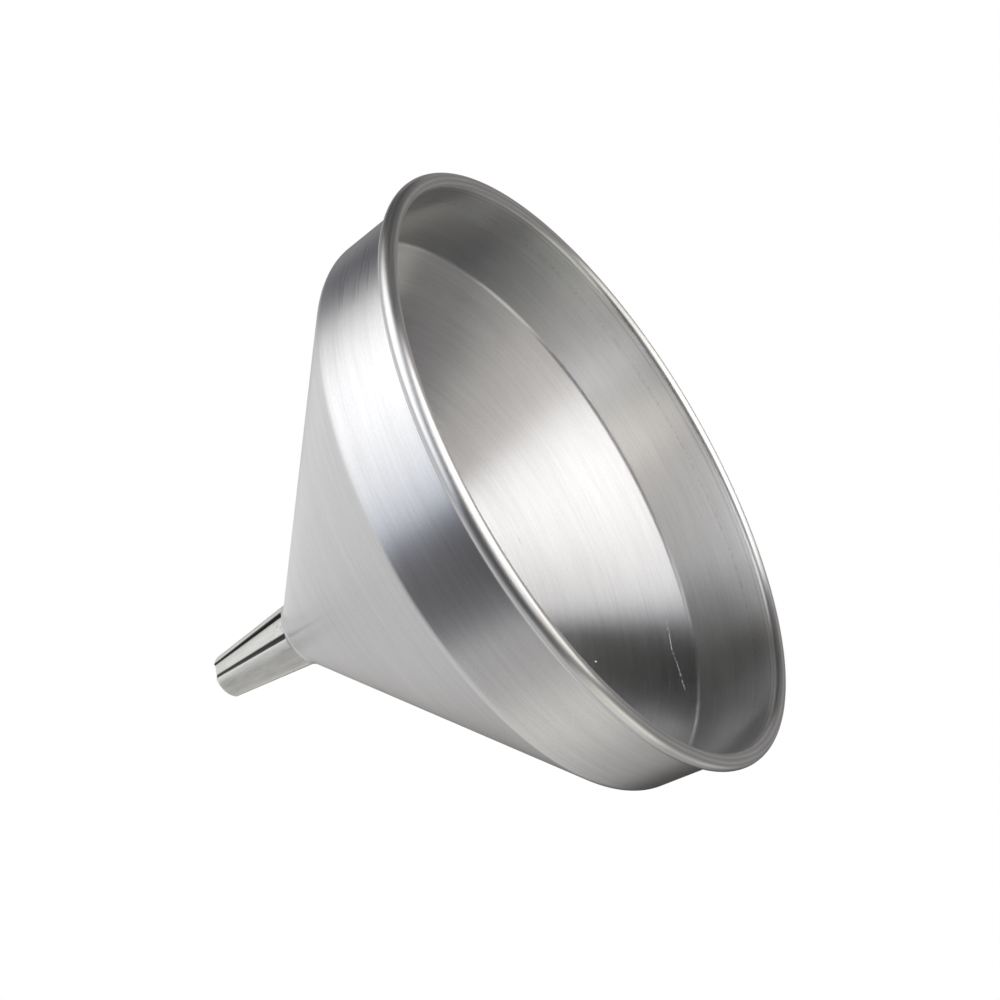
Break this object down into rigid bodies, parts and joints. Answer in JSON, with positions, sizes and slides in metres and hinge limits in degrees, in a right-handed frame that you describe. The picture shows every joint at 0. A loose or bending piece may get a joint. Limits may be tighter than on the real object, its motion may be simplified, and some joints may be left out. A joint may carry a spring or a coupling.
{
  "type": "funnel",
  "caption": "Spun aluminium funnel with an upright collar, a wired rolled rim and a narrow fluted spout brazed into the cone.",
  "frame": {"origin": "on the funnel's axis at the spout's root, the level where the spout leaves the cone and where the cone comes to rest on a neck", "axes": "+Z along the axis, from the spout towards the mouth; +X through the middle of one flute of the spout"},
  "size_m": [0.165, 0.165, 0.1335],
  "materials": {
    "spun_sheet": "satin, lathe-brushed round the axis, with a burnished line inside the crease",
    "wire": "drawn wire",
    "pressed_spout": "bright, lightly polished",
    "braze": "brushed smooth"
  },
  "bodies": {
    "root": {"bowl": "spun_sheet", "rim_wire": "wire", "spout": "pressed_spout", "braze_joint": "braze"}
  },
  "joints": []
}
